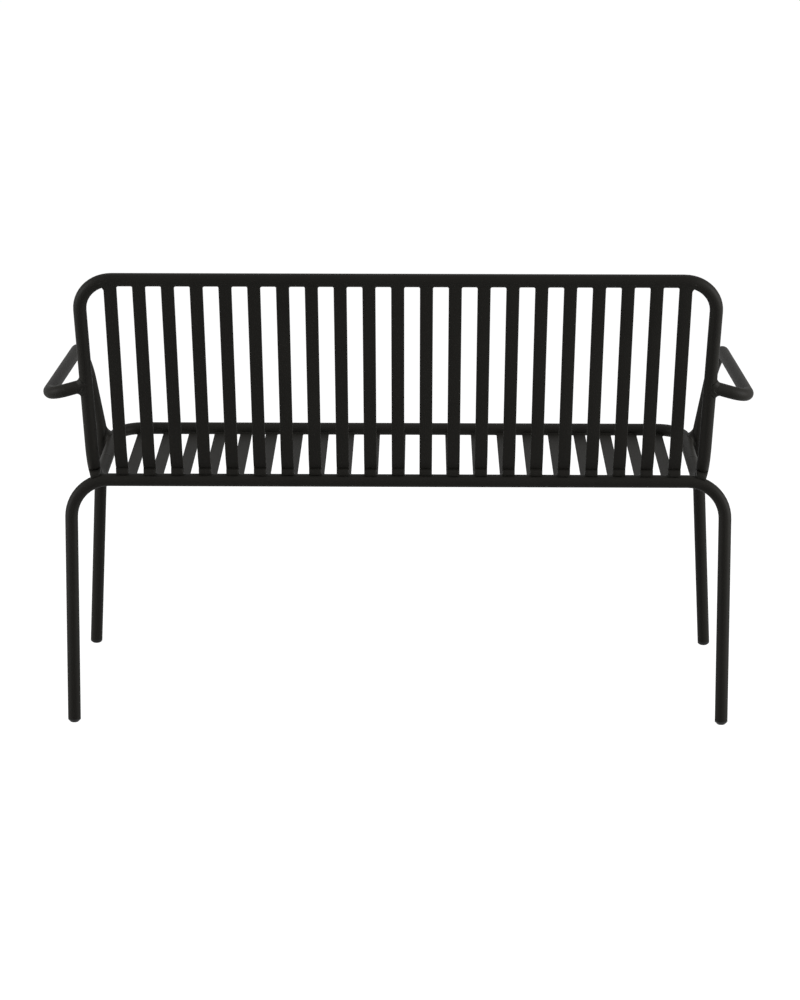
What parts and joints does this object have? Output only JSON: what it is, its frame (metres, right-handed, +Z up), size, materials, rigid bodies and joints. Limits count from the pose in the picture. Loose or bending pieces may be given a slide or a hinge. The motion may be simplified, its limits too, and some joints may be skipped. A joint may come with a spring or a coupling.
{
  "type": "garden bench",
  "caption": "Two-seat garden bench of bent round tube, with curved flat slats for seat and back, open tube arms and plastic foot caps.",
  "frame": {"origin": "on the floor, under the middle of the bench's outline", "axes": "+X towards the sitter's left, along the bench's length; +Y towards the back; +Z up"},
  "size_m": [1.1984, 0.5521, 0.7933],
  "materials": {
    "tube": "satin black powder coat",
    "slat": "satin black powder coat",
    "foot_cap": "matt black moulded plastic"
  },
  "bodies": {
    "root": {"back_hoop": "tube", "front_hoop": "tube", "rear_leg_hoop": "tube", "arm_leg_left": "tube", "arm_leg_right": "tube", "slat_01": "slat", "slat_02": "slat", "slat_03": "slat", "slat_04": "slat", "slat_05": "slat", "slat_06": "slat", "slat_07": "slat", "slat_08": "slat", "slat_09": "slat", "slat_10": "slat", "slat_11": "slat", "slat_12": "slat", "slat_13": "slat", "slat_14": "slat", "slat_15": "slat", "slat_16": "slat", "slat_17": "slat", "slat_18": "slat", "slat_19": "slat", "slat_20": "slat", "slat_21": "slat", "foot_cap_rear_left": "foot_cap", "foot_cap_rear_right": "foot_cap", "foot_cap_front_left": "foot_cap", "foot_cap_front_right": "foot_cap"}
  },
  "joints": []
}
